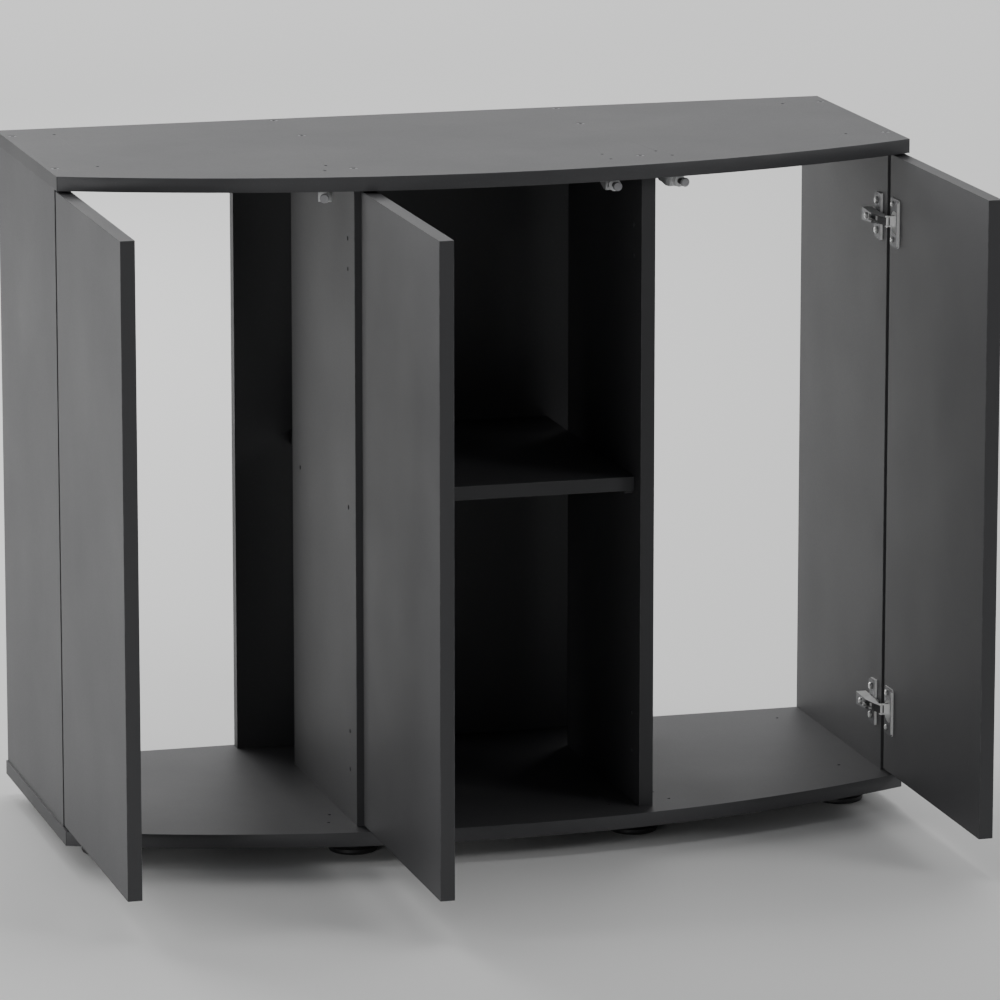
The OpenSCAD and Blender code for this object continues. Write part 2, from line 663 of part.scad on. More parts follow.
// each spring is drawn as the tube that its coils fill when the plunger is pressed in
module latch_springs() color(steel_c) for (where = ["left", "middle", "right"]) latch_frame(where)
    translate([0, spring_t, 0]) along_y() difference() {
        cylinder(r = spring_r, h = spring_l);
        translate([0, 0, -1]) cylinder(r = spring_r - 2 * spring_wire, h = spring_l + 2);
    }

module latch_screws() color(steel_c) for (where = ["left", "middle", "right"]) latch_frame(where)
    for (t = [0, housing_pitch]) translate([0, housing_t + housing_first + t, latch_drop - 3])
        mirror([0, 0, 1]) pan_screw(t > 0 ? 3 : 2.2, t > 0 ? 1.8 : 0.4, latch_screw_r, latch_screw_l);

// ---- glides ----

module glide() difference() {
    rotate_extrude($fn = 96) polygon([
        [0, 0], [foot_r - 3, 0], [foot_r - 1, 1], [foot_r, 3], [foot_r, 6], [foot_r - 4, 8],
        [foot_r - 6, 12], [foot_r - 7, foot_h - 3], [foot_r - 5, foot_h], [0, foot_h]]);
    translate([0, 0, -1]) cylinder(r = 7, h = foot_recess + 1);
    translate([0, 0, -1]) cylinder(r = foot_screw_r + fit, h = foot_h + 2);
}

module glides() color(edge_c) placed() for (p = feet_at) translate([p[0], p[1], -foot_h]) glide();

module glide_screws() color(steel_c) placed() for (p = feet_at) translate([p[0], p[1], foot_recess - foot_h])
    mirror([0, 0, 1]) pan_screw(4.5, 2.6, foot_screw_r, foot_h - foot_recess + foot_screw_l - 6);

top_plate();
bottom_plate();
side_panel("left");  // side_panel_left
side_panel("right");  // side_panel_right
divider(-1);  // divider_left
divider(1);  // divider_right
back_board();
shelf();
shelf_pins();
carcass_screws_top();
carcass_screws_bottom();
dowels_top();
dowels_bottom();
door("left");  // door_left
door("middle");  // door_middle
door("right");  // door_right
hinge_plates("left");  // hinge_plates_left
hinge_plates("middle");  // hinge_plates_middle
hinge_plates("right");  // hinge_plates_right
hinge_arms("left");  // hinge_arms_left
hinge_arms("middle");  // hinge_arms_middle
hinge_arms("right");  // hinge_arms_right
hinge_pins("left");  // hinge_pins_left
hinge_pins("middle");  // hinge_pins_middle
hinge_pins("right");  // hinge_pins_right
hinge_links("left");  // hinge_links_left
hinge_links("middle");  // hinge_links_middle
hinge_links("right");  // hinge_links_right
hinge_cups("left");  // hinge_cups_left
hinge_cups("middle");  // hinge_cups_middle
hinge_cups("right");  // hinge_cups_right
cup_screws("left");  // cup_screws_left
cup_screws("middle");  // cup_screws_middle
cup_screws("right");  // cup_screws_right
plate_screws();
clamp_screws();
latch_housing("left");  // latch_housing_left
latch_housing("middle");  // latch_housing_middle
latch_housing("right");  // latch_housing_right
latch_barrel("left");  // latch_barrel_left
latch_barrel("middle");  // latch_barrel_middle
latch_barrel("right");  // latch_barrel_right
latch_plunger("left");  // latch_plunger_left
latch_plunger("middle");  // latch_plunger_middle
latch_plunger("right");  // latch_plunger_right
latch_bumper("left");  // latch_bumper_left
latch_bumper("middle");  // latch_bumper_middle
latch_bumper("right");  // latch_bumper_right
latch_springs();
latch_screws();
glides();
glide_screws();
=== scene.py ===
import json
import math

import bmesh
import bpy
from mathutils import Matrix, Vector


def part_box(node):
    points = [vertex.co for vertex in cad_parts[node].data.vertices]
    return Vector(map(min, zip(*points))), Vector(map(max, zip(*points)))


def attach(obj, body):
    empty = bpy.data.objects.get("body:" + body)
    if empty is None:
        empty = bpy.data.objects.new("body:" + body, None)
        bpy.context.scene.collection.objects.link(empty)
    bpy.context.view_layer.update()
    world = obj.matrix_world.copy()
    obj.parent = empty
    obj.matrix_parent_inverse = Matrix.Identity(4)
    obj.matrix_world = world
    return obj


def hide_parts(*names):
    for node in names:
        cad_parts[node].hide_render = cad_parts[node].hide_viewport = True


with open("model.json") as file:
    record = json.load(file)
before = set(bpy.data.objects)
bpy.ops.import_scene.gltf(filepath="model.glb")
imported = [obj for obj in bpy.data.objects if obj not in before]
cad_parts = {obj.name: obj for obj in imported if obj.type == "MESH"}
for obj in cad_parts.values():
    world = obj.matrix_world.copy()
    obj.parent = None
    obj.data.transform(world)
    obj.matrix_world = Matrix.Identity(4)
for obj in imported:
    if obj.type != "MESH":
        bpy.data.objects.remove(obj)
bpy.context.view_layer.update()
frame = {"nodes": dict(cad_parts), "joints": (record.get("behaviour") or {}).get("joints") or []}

mm = 0.001
cabinetNodes = frame["nodes"]
print("frame loaded:", len(cabinetNodes), "nodes")

cameraSet = {
    "place": (-1.8234, -6.571, 1.8368),
    "turn": 15.52,      # degrees to the right of straight ahead
    "tilt": 12.12,      # degrees down
    "lens": 240.0,
    "filmWidth": 36,
    "farClip": 60,
}

lightSet = {
    "sky": (0.93, 0.95, 1.0),
    "skyStrength": 0.13,
    "floorTone": (0.88, 0.88, 0.87),
    "floorRough": 0.9,
    "floorSize": 40,
    "floorDrop": 0.0004,     # keeps the floor clear of the glides
    # name: (place, aimed at, width and height, watts)
    "boxes": {
        "leftBox": ((-4.2, 0.5, 2.0), (0, 0, 0.4), (2.0, 2.0), 46),
        "lowLeftBox": ((-4.6, -0.3, 1.0), (0, 0, 0.4), (1.6, 1.2), 16),
        "lowFrontBox": ((-2.6, -3.0, 0.45), (0.3, 0, 0.75), (1.2, 0.6), 30),  # under the top plate
        "topBox": ((0.4, 0.6, 3.6), (0, 0.1, 0.7), (2.6, 2.0), 48),
        "backBox": ((-1.4, 3.6, 1.9), (0.1, 0.1, 0.4), (2.6, 1.8), 64),
        "rightBox": ((3.5, -3.0, 2.4), (0, 0, 0.5), (1.8, 1.2), 46),
        "farWash": ((1.5, 8.0, 4.5), (1.5, 8.0, 0), (10, 9), 520),
    },
}


def makeCamera():
    eye = bpy.data.cameras.new("studioCamera")
    eye.lens = cameraSet["lens"]
    eye.sensor_width = cameraSet["filmWidth"]
    eye.clip_end = cameraSet["farClip"]
    cam = bpy.data.objects.new("studioCamera", eye)
    bpy.context.collection.objects.link(cam)
    cam.location = cameraSet["place"]
    cam.rotation_euler = (
        math.radians(90 - cameraSet["tilt"]), 0, -math.radians(cameraSet["turn"]))
    bpy.context.scene.camera = cam


def softBox(name, place, aim, size, watts):
    lamp = bpy.data.lights.new(name, "AREA")
    lamp.shape = "RECTANGLE"
    lamp.size, lamp.size_y = size
    lamp.energy = watts
    box = bpy.data.objects.new(name, lamp)
    bpy.context.collection.objects.link(box)
    box.location = place
    way = Vector(aim) - Vector(place)
    box.rotation_euler = way.to_track_quat("-Z", "Y").to_euler()


def makeStudio():
    world = bpy.data.worlds.new("studioSky")
    bpy.context.scene.world = world
    world.use_nodes = True
    sky = world.node_tree.nodes["Background"]
    sky.inputs["Color"].default_value = (*lightSet["sky"], 1)
    sky.inputs["Strength"].default_value = lightSet["skyStrength"]

    for name, (place, aim, size, watts) in lightSet["boxes"].items():
        softBox(name, place, aim, size, watts)

    bpy.ops.mesh.primitive_plane_add(
        size=lightSet["floorSize"], location=(0, 0, -lightSet["floorDrop"]))
    floor = bpy.context.object
    floor.name = "studioFloor"
    mat = bpy.data.materials.new("paleFloor")
    mat.use_nodes = True
    bsdf = mat.node_tree.nodes["Principled BSDF"]
    bsdf.inputs["Base Color"].default_value = (*lightSet["floorTone"], 1)
    bsdf.inputs["Roughness"].default_value = lightSet["floorRough"]
    floor.data.materials.append(mat)


makeCamera()
makeStudio()
print("camera, lights and floor are up")


def addNode(tree, kind, **settings):
    node = tree.nodes.new(kind)
    for key, value in settings.items():
        if hasattr(node, key):
            setattr(node, key, value)
        else:
            node.inputs[key.replace("_", " ")].default_value = value
    return node


def calc(tree, operation, a, b=None, c=None, clamp=False):
    node = tree.nodes.new("ShaderNodeMath")
    node.operation = operation
    node.use_clamp = clamp
    for i, value in enumerate((a, b, c)):
        if value is None:
            continue
        if isinstance(value, (int, float)):
            node.inputs[i].default_value = value
        else:
            tree.links.new(value, node.inputs[i])
    return node.outputs[0]


def spread(tree, value, fromLow, fromHigh, toLow=0.0, toHigh=1.0):
    node = tree.nodes.new("ShaderNodeMapRange")
    node.interpolation_type = "SMOOTHSTEP"
    tree.links.new(value, node.inputs["Value"])
    ends = {"From Min": fromLow, "From Max": fromHigh, "To Min": toLow, "To Max": toHigh}
    for name, what in ends.items():
        if isinstance(what, (int, float)):
            node.inputs[name].default_value = what
        else:
            tree.links.new(what, node.inputs[name])
    return node.outputs["Result"]


def mixColour(tree, amount, a, b):
    node = tree.nodes.new("ShaderNodeMix")
    node.data_type = "RGBA"
    first, second = 6, 7     # the two colour sockets
    for place, value in (("Factor", amount), (first, a), (second, b)):
        socket = node.inputs[place]
        if isinstance(value, (int, float)):
            socket.default_value = value
        elif isinstance(value, tuple):
            socket.default_value = (*value, 1) if len(value) == 3 else value
        else:
            tree.links.new(value, socket)
    colourOut = 2
    return node.outputs[colourOut]


def newGroup(name, inputs, outputs):
    group = bpy.data.node_groups.new(name, "ShaderNodeTree")
    for label, kind, value in inputs:
        socket = group.interface.new_socket(name=label, in_out="INPUT", socket_type=kind)
        socket.default_value = value
    for label, kind in outputs:
        group.interface.new_socket(name=label, in_out="OUTPUT", socket_type=kind)
    return group, group.nodes.new("NodeGroupInput"), group.nodes.new("NodeGroupOutput")


def useGroup(tree, group, **values):
    node = tree.nodes.new("ShaderNodeGroup")
    node.node_tree = group
    for key, value in values.items():
        socket = node.inputs[key]
        if isinstance(value, (int, float)):
            socket.default_value = value
        elif isinstance(value, (tuple, list, Vector)):
            wanted = len(socket.default_value)
            socket.default_value = tuple(value) if len(value) == wanted else (*value, 1)
        else:
            tree.links.new(value, socket)
    return node


grainLook = {
    "dimples": {"Detail": 2.0, "Roughness": 0.6},
    "flecks": {"Scale": 420.0, "Detail": 3.0, "Roughness": 0.75},
    "slow": {"Scale": 7.0, "Detail": 4.0, "Roughness": 0.55},
    "fleckStart": 0.56,
    "fleckFull": 0.72,
    "slowRough": 0.16,
    "dimpleRough": 0.14,
    "meanRough": 0.15,       # taken off, so the given roughness stays the average
}


def makeFaceGrain():
    # fine pressed texture of a matt laminate: tiny dimples, faint flecks and slow mottling
    group, entry, out = newGroup("faceGrain", [
        ("Base", "NodeSocketColor", (0.05, 0.05, 0.05, 1)),
        ("Fleck", "NodeSocketColor", (0.1, 0.1, 0.1, 1)),
        ("Fleck Amount", "NodeSocketFloat", 0.25),
        ("Dimple Scale", "NodeSocketFloat", 900.0),
        ("Mottle", "NodeSocketFloat", 0.12)],
        [("Color", "NodeSocketColor"), ("Rough", "NodeSocketFloat"), ("Height", "NodeSocketFloat")])
    place = addNode(group, "ShaderNodeTexCoord").outputs["Object"]
    dimples = addNode(group, "ShaderNodeTexNoise", **grainLook["dimples"])
    group.links.new(place, dimples.inputs["Vector"])
    group.links.new(entry.outputs["Dimple Scale"], dimples.inputs["Scale"])
    flecks = addNode(group, "ShaderNodeTexNoise", **grainLook["flecks"])
    group.links.new(place, flecks.inputs["Vector"])
    slow = addNode(group, "ShaderNodeTexNoise", **grainLook["slow"])
    group.links.new(place, slow.inputs["Vector"])
    fleckMask = spread(group, flecks.outputs["Fac"], grainLook["fleckStart"],
                       grainLook["fleckFull"])
    fleckMask = calc(group, "MULTIPLY", fleckMask, entry.outputs["Fleck Amount"])
    flecked = mixColour(group, fleckMask, entry.outputs["Base"], entry.outputs["Fleck"])
    shade = calc(group, "MULTIPLY_ADD", calc(group, "SUBTRACT", slow.outputs["Fac"], 0.5),
                 entry.outputs["Mottle"], 1.0)
    toned = group.nodes.new("ShaderNodeVectorMath")
    toned.operation = "SCALE"
    group.links.new(flecked, toned.inputs[0])
    group.links.new(shade, toned.inputs["Scale"])
    group.links.new(toned.outputs[0], out.inputs["Color"])
    rough = calc(group, "ADD",
                 calc(group, "MULTIPLY", slow.outputs["Fac"], grainLook["slowRough"]),
                 calc(group, "MULTIPLY", dimples.outputs["Fac"], grainLook["dimpleRough"]))
    group.links.new(calc(group, "ADD", rough, -grainLook["meanRough"]), out.inputs["Rough"])
    group.links.new(dimples.outputs["Fac"], out.inputs["Height"])
    return group


edgeLook = {
    "rubs": {"Scale": 55.0, "Detail": 5.0, "Roughness": 0.65},
    "rubStart": 0.42,
    "rubFull": 0.62,
    "seamCore": 0.00008,     # half width of the glue seam, then where it has faded
    "seamFade": 0.00022,
}


def makeBoxEdges():
    # distances to the faces of a board's own box, for edge wear and for the seam of its edging
    group, entry, out = newGroup("boxEdges", [
        ("Low", "NodeSocketVector", (0, 0, 0)),
        ("High", "NodeSocketVector", (1, 1, 1)),
        ("Wear Width", "NodeSocketFloat", 0.0012),
        ("Edging", "NodeSocketVector", (0, 1, 1)),
        ("Edging Thickness", "NodeSocketFloat", 0.0008)],
        [("Wear", "NodeSocketFloat"), ("Seam", "NodeSocketFloat"), ("Band", "NodeSocketFloat")])
    place = addNode(group, "ShaderNodeTexCoord").outputs["Object"]
    here = addNode(group, "ShaderNodeSeparateXYZ")
    group.links.new(place, here.inputs[0])
    low = addNode(group, "ShaderNodeSeparateXYZ")
    group.links.new(entry.outputs["Low"], low.inputs[0])
    high = addNode(group, "ShaderNodeSeparateXYZ")
    group.links.new(entry.outputs["High"], high.inputs[0])
    banded = addNode(group, "ShaderNodeSeparateXYZ")
    group.links.new(entry.outputs["Edging"], banded.inputs[0])
    away = []
    seams = []
    for i in range(3):
        a = calc(group, "SUBTRACT", here.outputs[i], low.outputs[i])
        b = calc(group, "SUBTRACT", high.outputs[i], here.outputs[i])
        nearest = calc(group, "MINIMUM", a, b)
        away.append(nearest)
        skip = calc(group, "SUBTRACT", 1.0, banded.outputs[i])
        seams.append(calc(group, "ADD", nearest, skip))
    # the second nearest pair of faces is near only along an edge
    middle = calc(group, "MAXIMUM", calc(group, "MINIMUM", away[0], away[1]),
                  calc(group, "MINIMUM", calc(group, "MAXIMUM", away[0], away[1]), away[2]))
    rubs = addNode(group, "ShaderNodeTexNoise", **edgeLook["rubs"])
    group.links.new(place, rubs.inputs["Vector"])
    near = spread(group, middle, 0.0, entry.outputs["Wear Width"], 1.0, 0.0)
    patchy = spread(group, rubs.outputs["Fac"], edgeLook["rubStart"], edgeLook["rubFull"])
    group.links.new(calc(group, "MULTIPLY", near, patchy), out.inputs["Wear"])
    seamWay = calc(group, "MINIMUM", calc(group, "MINIMUM", seams[0], seams[1]), seams[2])
    thickness = entry.outputs["Edging Thickness"]
    offset = calc(group, "ABSOLUTE", calc(group, "SUBTRACT", seamWay, thickness))
    seam = spread(group, offset, edgeLook["seamCore"], edgeLook["seamFade"], 1.0, 0.0)
    group.links.new(seam, out.inputs["Seam"])
    group.links.new(calc(group, "LESS_THAN", seamWay, thickness), out.inputs["Band"])
    return group


dustLook = {
    "patches": {"Detail": 6.0, "Roughness": 0.7},
    "specks": {"Scale": 1300.0, "Detail": 1.0},
    "upFrom": 0.6,           # how far up a face has to look to gather dust
    "upFull": 0.95,
    "patchStart": 0.35,
    "patchFull": 0.75,
    "speckStart": 0.55,
    "speckFull": 0.7,
    "patchShare": 0.6,
    "speckShare": 0.4,
}


def makeSettledDust():
    # thin dust on what faces up, gathered in soft patches
    group, entry, out = newGroup("settledDust", [
        ("Amount", "NodeSocketFloat", 0.1),
        ("Patch Scale", "NodeSocketFloat", 9.0)],
        [("Mask", "NodeSocketFloat")])
    place = addNode(group, "ShaderNodeTexCoord").outputs["Object"]
    facing = addNode(group, "ShaderNodeNewGeometry")
    split = addNode(group, "ShaderNodeSeparateXYZ")
    group.links.new(facing.outputs["Normal"], split.inputs[0])
    up = spread(group, split.outputs["Z"], dustLook["upFrom"], dustLook["upFull"])
    patches = addNode(group, "ShaderNodeTexNoise", **dustLook["patches"])
    group.links.new(place, patches.inputs["Vector"])
    group.links.new(entry.outputs["Patch Scale"], patches.inputs["Scale"])
    specks = addNode(group, "ShaderNodeTexNoise", **dustLook["specks"])
    group.links.new(place, specks.inputs["Vector"])
    soft = spread(group, patches.outputs["Fac"], dustLook["patchStart"], dustLook["patchFull"])
    speck = spread(group, specks.outputs["Fac"], dustLook["speckStart"], dustLook["speckFull"])
    both = calc(group, "ADD", calc(group, "MULTIPLY", soft, dustLook["patchShare"]),
                calc(group, "MULTIPLY", speck, dustLook["speckShare"]))
    lying = calc(group, "MULTIPLY", both, up)
    group.links.new(calc(group, "MULTIPLY", lying, entry.outputs["Amount"]), out.inputs["Mask"])
    return group


metalLook = {
    "lines": {"Scale": 1.0, "Detail": 3.0, "Roughness": 0.6},
    "stains": {"Scale": 240.0, "Detail": 4.0, "Roughness": 0.6},
    "stainStart": 0.5,
    "stainFull": 0.75,
    "stainMost": 0.55,
    "lineRough": 0.22,
    "stainRough": 0.3,
    "roughShift": 0.05,      # taken off before the lines and stains are added
    "paintedHighlightStart": 0.8,         # how squarely a face looks along the sheet's flat way
    "paintedHighlightFull": 0.45,
}


def makeDrawnMetal():
    # plated sheet: fine rolling lines along one direction and small stains
    group, entry, out = newGroup("drawnMetal", [
        ("Stretch", "NodeSocketVector", (300, 300, 3000)),
        ("Base", "NodeSocketColor", (0.7, 0.7, 0.7, 1)),
        ("Stain", "NodeSocketColor", (0.4, 0.4, 0.4, 1))],
        [("Color", "NodeSocketColor"), ("Rough", "NodeSocketFloat"), ("Height", "NodeSocketFloat")])
    place = addNode(group, "ShaderNodeTexCoord").outputs["Object"]
    drawn = addNode(group, "ShaderNodeVectorMath", operation="MULTIPLY")
    group.links.new(place, drawn.inputs[0])
    group.links.new(entry.outputs["Stretch"], drawn.inputs[1])
    lines = addNode(group, "ShaderNodeTexNoise", **metalLook["lines"])
    group.links.new(drawn.outputs[0], lines.inputs["Vector"])
    stains = addNode(group, "ShaderNodeTexNoise", **metalLook["stains"])
    group.links.new(place, stains.inputs["Vector"])
    stainMask = spread(group, stains.outputs["Fac"], metalLook["stainStart"],
                       metalLook["stainFull"], 0.0, metalLook["stainMost"])
    group.links.new(mixColour(group, stainMask, entry.outputs["Base"], entry.outputs["Stain"]),
                    out.inputs["Color"])
    rough = calc(group, "ADD",
                 calc(group, "MULTIPLY", lines.outputs["Fac"], metalLook["lineRough"]),
                 calc(group, "MULTIPLY", stainMask, metalLook["stainRough"]))
    group.links.new(rough, out.inputs["Rough"])
    group.links.new(lines.outputs["Fac"], out.inputs["Height"])
    return group


def makeEdgeHighlightMask():
    # tells the flat faces of a stamped sheet from its cut edges by the way a face looks: the mask
    # that gives the flat faces painted shade and the cut edges a painted highlight
    group, entry, out = newGroup("edgeHighlightMask", [
        ("Flat Way", "NodeSocketVector", (1, 0, 0))],
        [("Painted Highlight", "NodeSocketFloat")])
    facing = addNode(group, "ShaderNodeTexCoord").outputs["Normal"]
    along = addNode(group, "ShaderNodeVectorMath", operation="DOT_PRODUCT")
    group.links.new(facing, along.inputs[0])
    group.links.new(entry.outputs["Flat Way"], along.inputs[1])
    flat = calc(group, "ABSOLUTE", along.outputs["Value"])
    paintedHighlight = spread(group, flat, metalLook["paintedHighlightFull"], metalLook["paintedHighlightStart"], 1.0, 0.0)
    group.links.new(paintedHighlight, out.inputs["Painted Highlight"])
    return group


faceGrain = makeFaceGrain()
boxEdges = makeBoxEdges()
settledDust = makeSettledDust()
drawnMetal = makeDrawnMetal()
edgeHighlightMask = makeEdgeHighlightMask()


def startMaterial(name, roughness, metallic=0.0, specular=0.5):
    mat = bpy.data.materials.new(name)
    mat.use_nodes = True
    tree = mat.node_tree
    bsdf = tree.nodes["Principled BSDF"]
    bsdf.inputs["Roughness"].default_value = roughness
    bsdf.inputs["Metallic"].default_value = metallic
    bsdf.inputs["Specular IOR Level"].default_value = specular
    return mat, tree, bsdf


def addBump(tree, bsdf, height, distance, strength):
    bump = tree.nodes.new("ShaderNodeBump")
    bump.inputs["Strength"].default_value = strength
    bump.inputs["Distance"].default_value = distance
    tree.links.new(height, bump.inputs["Height"])
    tree.links.new(bump.outputs["Normal"], bsdf.inputs["Normal"])


boardLook = {
    "face": (0.060, 0.060, 0.063),
    "fleck": (0.115, 0.115, 0.120),
    "fleckAmount": 0.22,
    "edging": (0.036, 0.036, 0.038),
    "worn": (0.17, 0.17, 0.175),
    "seam": (0.008, 0.008, 0.008),
    "dust": (0.33, 0.32, 0.30),
    "edgingShare": 0.8,
    "seamShare": 0.7,
    "wornShare": 0.30,
    "dustRough": 0.4,
    "rough": 0.50,
    "specular": 0.42,
    "dimpleScale": 850.0,
    "mottle": 0.16,
    "bumpDepth": 0.00012,
    "bumpStrength": 0.35,
    "softEdge": 0.5 * mm,    # the rounding on every board edge
    "topDust": 0.10,
    "otherDust": 0.05,
}


def laminate(name, low, high, edging, dust):
    # matt charcoal laminate on one board, with its glued edging
    mat, tree, bsdf = startMaterial(name, boardLook["rough"], specular=boardLook["specular"])
    grain = useGroup(tree, faceGrain, **{
        "Base": boardLook["face"], "Fleck": boardLook["fleck"],
        "Fleck Amount": boardLook["fleckAmount"],
        "Dimple Scale": boardLook["dimpleScale"], "Mottle": boardLook["mottle"]})
    edges = useGroup(tree, boxEdges, **{"Low": low, "High": high, "Edging": edging})
    settled = useGroup(tree, settledDust, Amount=dust)
    colour = grain.outputs["Color"]
    for mask, paint in (("Band", "edging"), ("Seam", "seam"), ("Wear", "worn")):
        amount = calc(tree, "MULTIPLY", edges.outputs[mask], boardLook[paint + "Share"])
        colour = mixColour(tree, amount, colour, boardLook[paint])
    colour = mixColour(tree, settled.outputs["Mask"], colour, boardLook["dust"])
    tree.links.new(colour, bsdf.inputs["Base Color"])
    rough = calc(tree, "ADD", grain.outputs["Rough"], boardLook["rough"])
    dusty = calc(tree, "MULTIPLY", settled.outputs["Mask"], boardLook["dustRough"])
    tree.links.new(calc(tree, "ADD", rough, dusty, clamp=True), bsdf.inputs["Roughness"])
    height = calc(tree, "SUBTRACT", grain.outputs["Height"], edges.outputs["Seam"])
    addBump(tree, bsdf, height, boardLook["bumpDepth"], boardLook["bumpStrength"])
    return mat


steelLook = {
    "bright": (0.66, 0.66, 0.65),
    "brightStain": (0.30, 0.29, 0.28),
    "paintedShadeFace": (0.085, 0.085, 0.09),     # flat faces of the stamped hinge parts, darkened as painted shade
    "paintedShadeStain": (0.05, 0.05, 0.05),
    "paintedHighlight": (0.92, 0.92, 0.91),        # their cut edges, lightened as a painted highlight
    "paintedHighlightStain": (0.72, 0.72, 0.71),
    # the cut edges are made almost non-metallic so that they show bright, as part of the painted
    # highlight
    "paintedShadeMetal": 0.9,
    "paintedHighlightMetal": 0.15,
    "rough": 0.30,
    "brightRough": 0.16,
    "bumpDepth": 0.00003,
    "bumpStrength": 0.5,
}


def roughSteel(tree, bsdf, drawn, rough):
    # the rolling lines and stains roughen the steel, and the lines are its bump
    base = rough - metalLook["roughShift"]
    tree.links.new(calc(tree, "ADD", drawn.outputs["Rough"], base, clamp=True),
                   bsdf.inputs["Roughness"])
    addBump(tree, bsdf, drawn.outputs["Height"], steelLook["bumpDepth"],
            steelLook["bumpStrength"])


def platedSteel(name, base=steelLook["bright"], stain=steelLook["brightStain"],
                rough=steelLook["brightRough"], metal=1.0):
    mat, tree, bsdf = startMaterial(name, rough, metallic=metal)
    drawn = useGroup(tree, drawnMetal, Base=base, Stain=stain)
    tree.links.new(drawn.outputs["Color"], bsdf.inputs["Base Color"])
    roughSteel(tree, bsdf, drawn, rough)
    return mat


def stampedSteel(name, flatWay=(1, 0, 0), paintedShadeFace=steelLook["paintedShadeFace"]):
    # painted shade on the flat faces, painted highlight on the cut edges
    mat, tree, bsdf = startMaterial(name, steelLook["rough"])
    faces = useGroup(tree, drawnMetal, Base=paintedShadeFace, Stain=steelLook["paintedShadeStain"])
    edges = useGroup(tree, drawnMetal, Base=steelLook["paintedHighlight"], Stain=steelLook["paintedHighlightStain"])
    paintedHighlight = useGroup(tree, edgeHighlightMask, **{"Flat Way": flatWay}).outputs["Painted Highlight"]
    colour = mixColour(tree, paintedHighlight, faces.outputs["Color"], edges.outputs["Color"])
    tree.links.new(colour, bsdf.inputs["Base Color"])
    metal = spread(tree, paintedHighlight, 0.0, 1.0, steelLook["paintedShadeMetal"], steelLook["paintedHighlightMetal"])
    tree.links.new(metal, bsdf.inputs["Metallic"])
    roughSteel(tree, bsdf, faces, steelLook["rough"])
    return mat


plasticLook = {
    "fleckAmount": 0.35,
    "dimpleScale": 2200.0,
    "mottle": 0.25,
    "dust": 0.1,
    "dustScale": 60.0,
    "rough": 0.42,
    "bumpDepth": 0.00008,
    "bumpStrength": 0.4,
}


def mouldedPlastic(name, base, fleck, rough=plasticLook["rough"]):
    mat, tree, bsdf = startMaterial(name, rough)
    grain = useGroup(tree, faceGrain, **{
        "Base": base, "Fleck": fleck, "Fleck Amount": plasticLook["fleckAmount"],
        "Dimple Scale": plasticLook["dimpleScale"], "Mottle": plasticLook["mottle"]})
    settled = useGroup(tree, settledDust, **{
        "Amount": plasticLook["dust"], "Patch Scale": plasticLook["dustScale"]})
    colour = mixColour(tree, settled.outputs["Mask"], grain.outputs["Color"], boardLook["dust"])
    tree.links.new(colour, bsdf.inputs["Base Color"])
    tree.links.new(calc(tree, "ADD", grain.outputs["Rough"], rough, clamp=True),
                   bsdf.inputs["Roughness"])
    addBump(tree, bsdf, grain.outputs["Height"], plasticLook["bumpDepth"],
            plasticLook["bumpStrength"])
    return mat


woodLook = {
    "rings": {"Scale": 260.0, "Distortion": 4.0, "Detail": 3.0},
    "late": (0.55, 0.40, 0.24),
    "early": (0.68, 0.52, 0.34),
    "rough": 0.5,
    "ringRough": 0.2,
    "bumpDepth": 0.0001,
    "bumpStrength": 0.4,
}


def beechWood(name):
    mat, tree, bsdf = startMaterial(name, woodLook["rough"])
    place = addNode(tree, "ShaderNodeTexCoord").outputs["Object"]
    rings = addNode(tree, "ShaderNodeTexWave", **woodLook["rings"])
    rings.bands_direction = "X"
    tree.links.new(place, rings.inputs["Vector"])
    tree.links.new(mixColour(tree, rings.outputs["Fac"], woodLook["late"], woodLook["early"]),
                   bsdf.inputs["Base Color"])
    rough = calc(tree, "MULTIPLY_ADD", rings.outputs["Fac"], woodLook["ringRough"],
                 woodLook["rough"])
    tree.links.new(rough, bsdf.inputs["Roughness"])
    addBump(tree, bsdf, rings.outputs["Fac"], woodLook["bumpDepth"], woodLook["bumpStrength"])
    return mat


nickel = platedSteel("nickelSteel")
# hinge plates, cups and arms: flat faces darkened as painted shade, cut edges lightened as painted
# highlight
hingeSheet = stampedSteel("hingeSheet")
armSheet = stampedSteel("armSheet", (0.97, 0, 0), (0.16, 0.16, 0.165))
# hinge links: near-white, almost non-metallic base so that they show bright, a painted highlight
linkZincPaintedHighlight = platedSteel("linkZincPaintedHighlight", (0.96, 0.96, 0.95), (0.88, 0.88, 0.87), 0.30, 0.05)
screwZinc = platedSteel("screwZinc", (0.88, 0.88, 0.87), (0.5, 0.5, 0.49), 0.22, 0.6)
darkZinc = platedSteel("darkZincScrew", (0.21, 0.21, 0.215), (0.08, 0.08, 0.08), 0.36)
latchGrey = mouldedPlastic("latchGrey", (0.66, 0.665, 0.67), (0.76, 0.76, 0.77))
barrelGrey = mouldedPlastic("barrelGrey", (0.78, 0.785, 0.79), (0.86, 0.86, 0.87), 0.30)
blackPlastic = mouldedPlastic("glideBlack", (0.012, 0.012, 0.013), (0.05, 0.05, 0.05), 0.38)
softRubber = mouldedPlastic("bumperRubber", (0.36, 0.36, 0.37), (0.46, 0.46, 0.46), 0.55)
beech = beechWood("beechDowel")
print("finishes are ready")


def setFinish(node, mat):
    node.data.materials.clear()
    node.data.materials.append(mat)


def softenEdges(node):
    weld = node.modifiers.new("weldSeams", "WELD")
    weld.merge_threshold = 0.01 * mm
    bevel = node.modifiers.new("softEdge", "BEVEL")
    bevel.width = boardLook["softEdge"]
    bevel.segments = 2
    bevel.limit_method = "ANGLE"
    bevel.angle_limit = math.radians(40)     # leaves the facets of the bow alone
    bevel.harden_normals = True


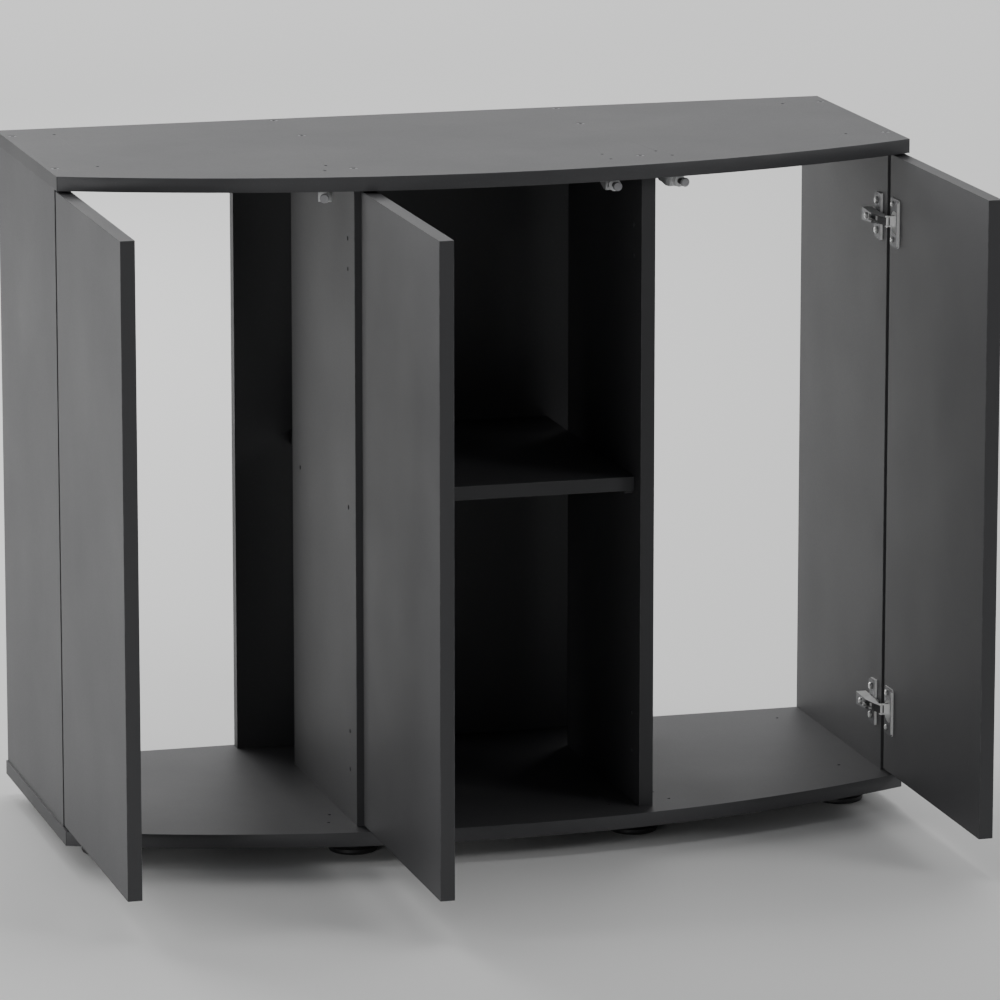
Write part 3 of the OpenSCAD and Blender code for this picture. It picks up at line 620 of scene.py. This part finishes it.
# the ways that each board's glued edging faces
boardEdging = {
    "side_panel": (0, 1, 0),
    "divider": (0, 1, 0),
    "back_board": (1, 0, 0),
    "shelf": (0, 1, 0),
    "door": (0, 1, 1),
    "top_plate": (1, 0, 0),
    "bottom_plate": (1, 0, 0),
}
finishes = {
    "carcass_screws": darkZinc,
    "dowels": beech,
    "hinge_plates": hingeSheet,
    "hinge_cups": hingeSheet,
    "hinge_arms": armSheet,
    "hinge_links": linkZincPaintedHighlight,
    "hinge_pins": nickel,
    "plate_screws": screwZinc,
    "clamp_screws": screwZinc,
    "cup_screws": screwZinc,
    "shelf_pins": nickel,
    "latch_housing": latchGrey,
    "latch_barrel": barrelGrey,
    "latch_plunger": blackPlastic,
    "latch_bumper": softRubber,
    "latch_screws": nickel,
    "latch_springs": nickel,
    "glides": blackPlastic,
    "glide_screws": nickel,
}


def lookUp(choices, name):
    for start, what in choices.items():
        if name.startswith(start):
            return what
    return None


for name, node in cabinetNodes.items():
    edging = lookUp(boardEdging, name)
    if edging is not None:
        low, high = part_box(name)
        dust = boardLook["topDust" if name == "top_plate" else "otherDust"]
        setFinish(node, laminate("board_" + name, low, high, edging, dust))
        softenEdges(node)
    else:
        setFinish(node, lookUp(finishes, name))
print("boards and fittings have their finishes")


# the three return springs of the latches, wound between plunger and barrel end
coilSpring = {
    "wire": 0.35 * mm,       # radius of the wire
    "outer": 2.6 * mm,
    "turns": 8,
    "closed": 1.25,          # turns that lie against each other at each end
    "closedPitch": 2.2,      # their spacing, in wire radii
    "steps": 22,             # points in a turn
    "sides": 8,
    "reach": 60 * mm,        # how far from its joint a spring's own tube may lie
}


def springRise(turn):
    # how far the closed turns have risen, and what share of the open length is used
    flat = coilSpring["closedPitch"] * coilSpring["wire"]
    closed = coilSpring["closed"]
    openTurns = coilSpring["turns"] - 2 * closed
    if turn <= closed:
        return flat * turn, 0
    if turn <= closed + openTurns:
        return flat * closed, (turn - closed) / openTurns
    return flat * (turn - openTurns), 1


def addCoil(mesh, start, axis, length):
    side = axis.orthogonal().normalized()
    other = axis.cross(side)
    radius = coilSpring["outer"] - coilSpring["wire"]
    closedLength = 2 * coilSpring["closed"] * coilSpring["closedPitch"] * coilSpring["wire"]
    spare = length - closedLength - 2 * coilSpring["wire"]
    rings = []
    count = int(coilSpring["turns"] * coilSpring["steps"])
    for i in range(count + 1):
        turn = i / coilSpring["steps"]
        fixed, share = springRise(turn)
        around = 2 * math.pi * turn
        outward = side * math.cos(around) + other * math.sin(around)
        centre = start + axis * (coilSpring["wire"] + fixed + share * spare) + outward * radius
        ring = []
        for j in range(coilSpring["sides"]):
            a = 2 * math.pi * j / coilSpring["sides"]
            point = centre + (outward * math.cos(a) + axis * math.sin(a)) * coilSpring["wire"]
            ring.append(mesh.verts.new(point))
        rings.append(ring)
    for one, two in zip(rings, rings[1:]):
        for j in range(coilSpring["sides"]):
            k = (j + 1) % coilSpring["sides"]
            mesh.faces.new((one[j], one[k], two[k], two[j])).smooth = True
    mesh.faces.new(list(reversed(rings[0])))
    mesh.faces.new(rings[-1])


def makeSprings():
    tubes = [Vector(v.co) for v in cabinetNodes["latch_springs"].data.vertices]
    mesh = bmesh.new()
    for where in ("left", "middle", "right"):
        joint = [j for j in frame["joints"] if j["name"] == "plunger_" + where + "_slide"][0]
        anchor = Vector(joint["pos_m"])
        axis = Vector(joint["axis"]).normalized()
        near = [v for v in tubes if (v - anchor).length < coilSpring["reach"]]
        along = [(v - anchor).dot(axis) for v in near]
        addCoil(mesh, anchor + axis * min(along), axis, max(along) - min(along))
    bmesh.ops.recalc_face_normals(mesh, faces=mesh.faces)
    data = bpy.data.meshes.new("latchSprings")
    mesh.to_mesh(data)
    mesh.free()
    springs = bpy.data.objects.new("latchSprings", data)
    bpy.context.collection.objects.link(springs)
    springs.data.materials.append(nickel)
    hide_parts("latch_springs")
    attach(springs, "cabinet")


makeSprings()
print("latch springs are wound")
